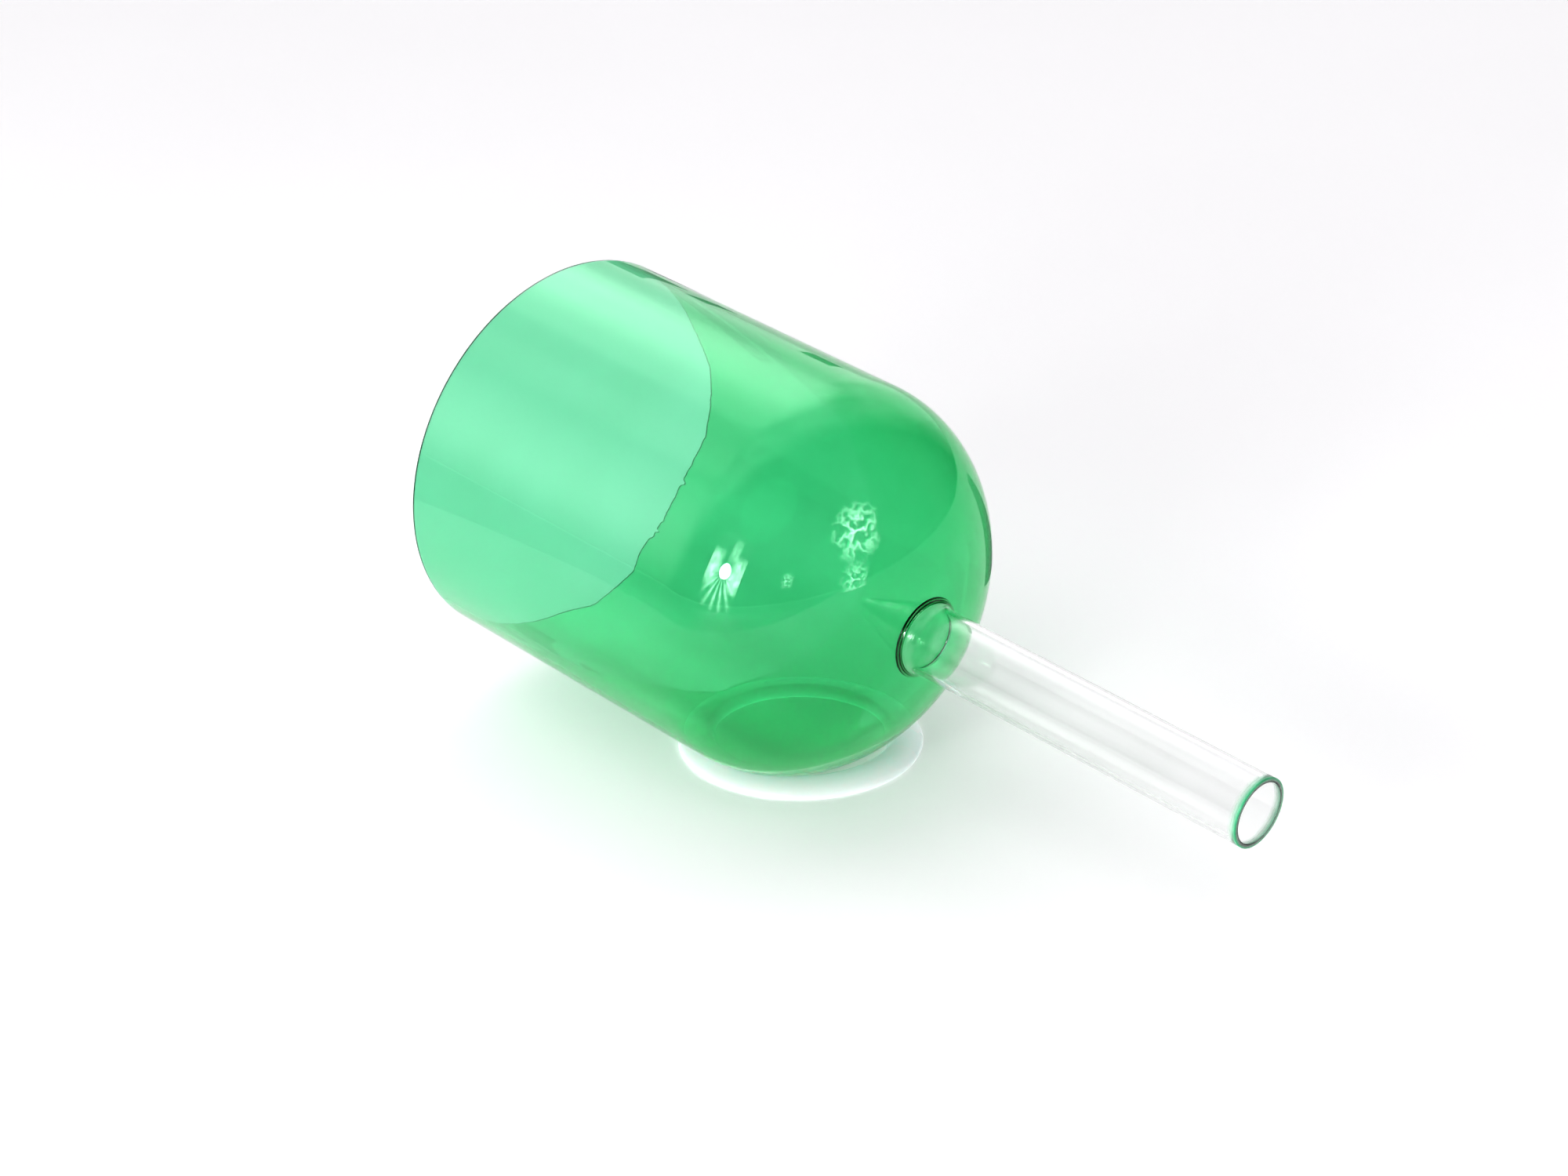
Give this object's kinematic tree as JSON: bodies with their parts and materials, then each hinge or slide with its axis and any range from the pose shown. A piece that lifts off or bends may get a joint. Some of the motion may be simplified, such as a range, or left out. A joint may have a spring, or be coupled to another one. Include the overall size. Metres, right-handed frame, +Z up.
{
  "type": "glass bell with a stem tube",
  "caption": "Thin green glass bell, open at one end and domed at the other, with a clear glass stem sealed to the dome, lying on a low rest ring.",
  "frame": {"origin": "on the table, under the middle of the object's bounding box", "axes": "+X along the bell from its mouth towards its stem, +Z up from the table"},
  "size_m": [0.2955, 0.13, 0.1406],
  "materials": {
    "green_glass": "polished, transparent emerald green",
    "clear_glass": "polished, colourless, green at the cut edge",
    "seal_glass": "fire-polished, dark green",
    "ring_plastic": "soft translucent milky white, slightly glossy"
  },
  "bodies": {
    "ring": {"rest_ring": "ring_plastic"},
    "bell": {"bell_shell": "green_glass", "stem_tube": "clear_glass", "seal_collar": "seal_glass"}
  },
  "joints": [
    {"name": "bell_lift", "type": "slide", "parent": "ring", "child": "bell", "axis": [0, 0, 1], "range_m": [0, 0.12]}
  ]
}
